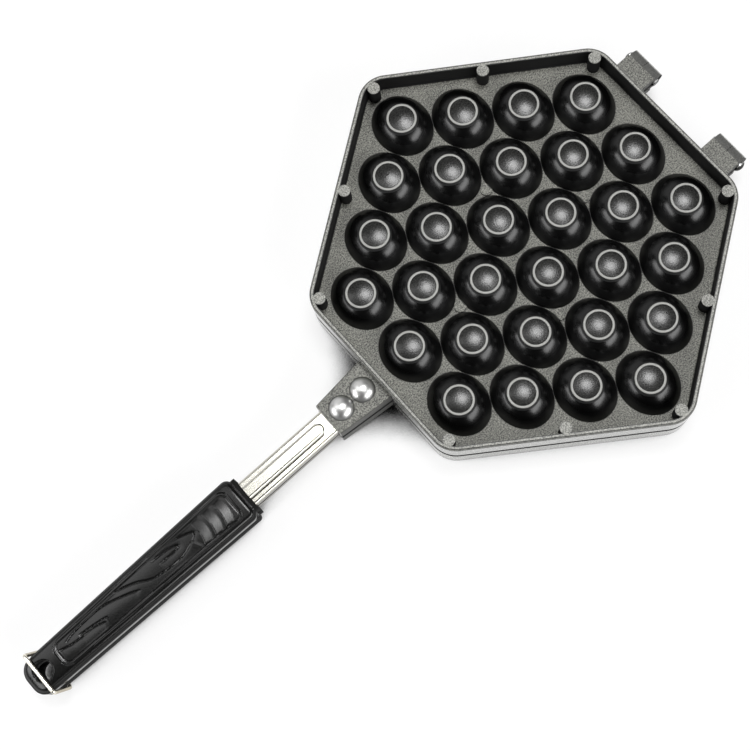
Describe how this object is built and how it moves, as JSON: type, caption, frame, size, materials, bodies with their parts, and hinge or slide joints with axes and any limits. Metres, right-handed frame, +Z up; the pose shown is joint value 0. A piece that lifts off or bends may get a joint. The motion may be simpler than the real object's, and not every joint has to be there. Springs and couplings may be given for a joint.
{
  "type": "egg waffle pan",
  "caption": "Hand-held hinged pan with two six-sided plates of staggered egg-shaped cells, chromed necks, long moulded grips and a wire clasp over the grip ends.",
  "frame": {"origin": "on the surface that the closed pan stands on, under the middle of its box", "axes": "+X from the grips to the hinges, +Y across the pan, +Z up out of the upper plate"},
  "size_m": [0.3873, 0.2058, 0.029],
  "materials": {
    "coated_cast_aluminium": "dark sprayed non-stick coating on cast aluminium, fine grain",
    "chromed_steel": "bright chrome plate on stamped steel",
    "moulded_phenolic": "black moulded phenolic, satin",
    "polished_rivet": "polished domed heads",
    "zinc_screw": "zinc-plated",
    "spring_wire": "bright plated spring wire"
  },
  "bodies": {
    "lower_half": {"lower_neck_lug": "coated_cast_aluminium", "lower_row_1": "coated_cast_aluminium", "lower_row_2": "coated_cast_aluminium", "lower_row_3": "coated_cast_aluminium", "lower_row_4": "coated_cast_aluminium", "lower_row_5": "coated_cast_aluminium", "lower_row_6": "coated_cast_aluminium", "lower_row_7": "coated_cast_aluminium", "lower_hinge_lugs": "coated_cast_aluminium", "lower_neck": "chromed_steel", "lower_grip": "moulded_phenolic", "lower_front_rivet": "polished_rivet", "lower_rear_rivet": "polished_rivet", "lower_front_screw": "zinc_screw", "lower_rear_screw": "zinc_screw", "left_hinge_pin": "polished_rivet", "right_hinge_pin": "polished_rivet"},
    "upper_half": {"upper_neck_lug": "coated_cast_aluminium", "upper_row_1": "coated_cast_aluminium", "upper_row_2": "coated_cast_aluminium", "upper_row_3": "coated_cast_aluminium", "upper_row_4": "coated_cast_aluminium", "upper_row_5": "coated_cast_aluminium", "upper_row_6": "coated_cast_aluminium", "upper_row_7": "coated_cast_aluminium", "upper_hinge_lugs": "coated_cast_aluminium", "upper_neck": "chromed_steel", "upper_grip": "moulded_phenolic", "upper_front_rivet": "polished_rivet", "upper_rear_rivet": "polished_rivet", "upper_front_screw": "zinc_screw", "upper_rear_screw": "zinc_screw"},
    "clasp": {"wire_clasp": "spring_wire"}
  },
  "joints": [
    {"name": "lid_hinge", "type": "hinge", "parent": "lower_half", "child": "upper_half", "pos_m": [0.18915, 0, 0.0145], "axis": [0, 1, 0], "range_deg": [0, 180]},
    {"name": "clasp_swing", "type": "hinge", "parent": "lower_half", "child": "clasp", "pos_m": [-0.18315, 0, 0.008], "axis": [0, -1, 0], "range_deg": [0, 100]}
  ]
}
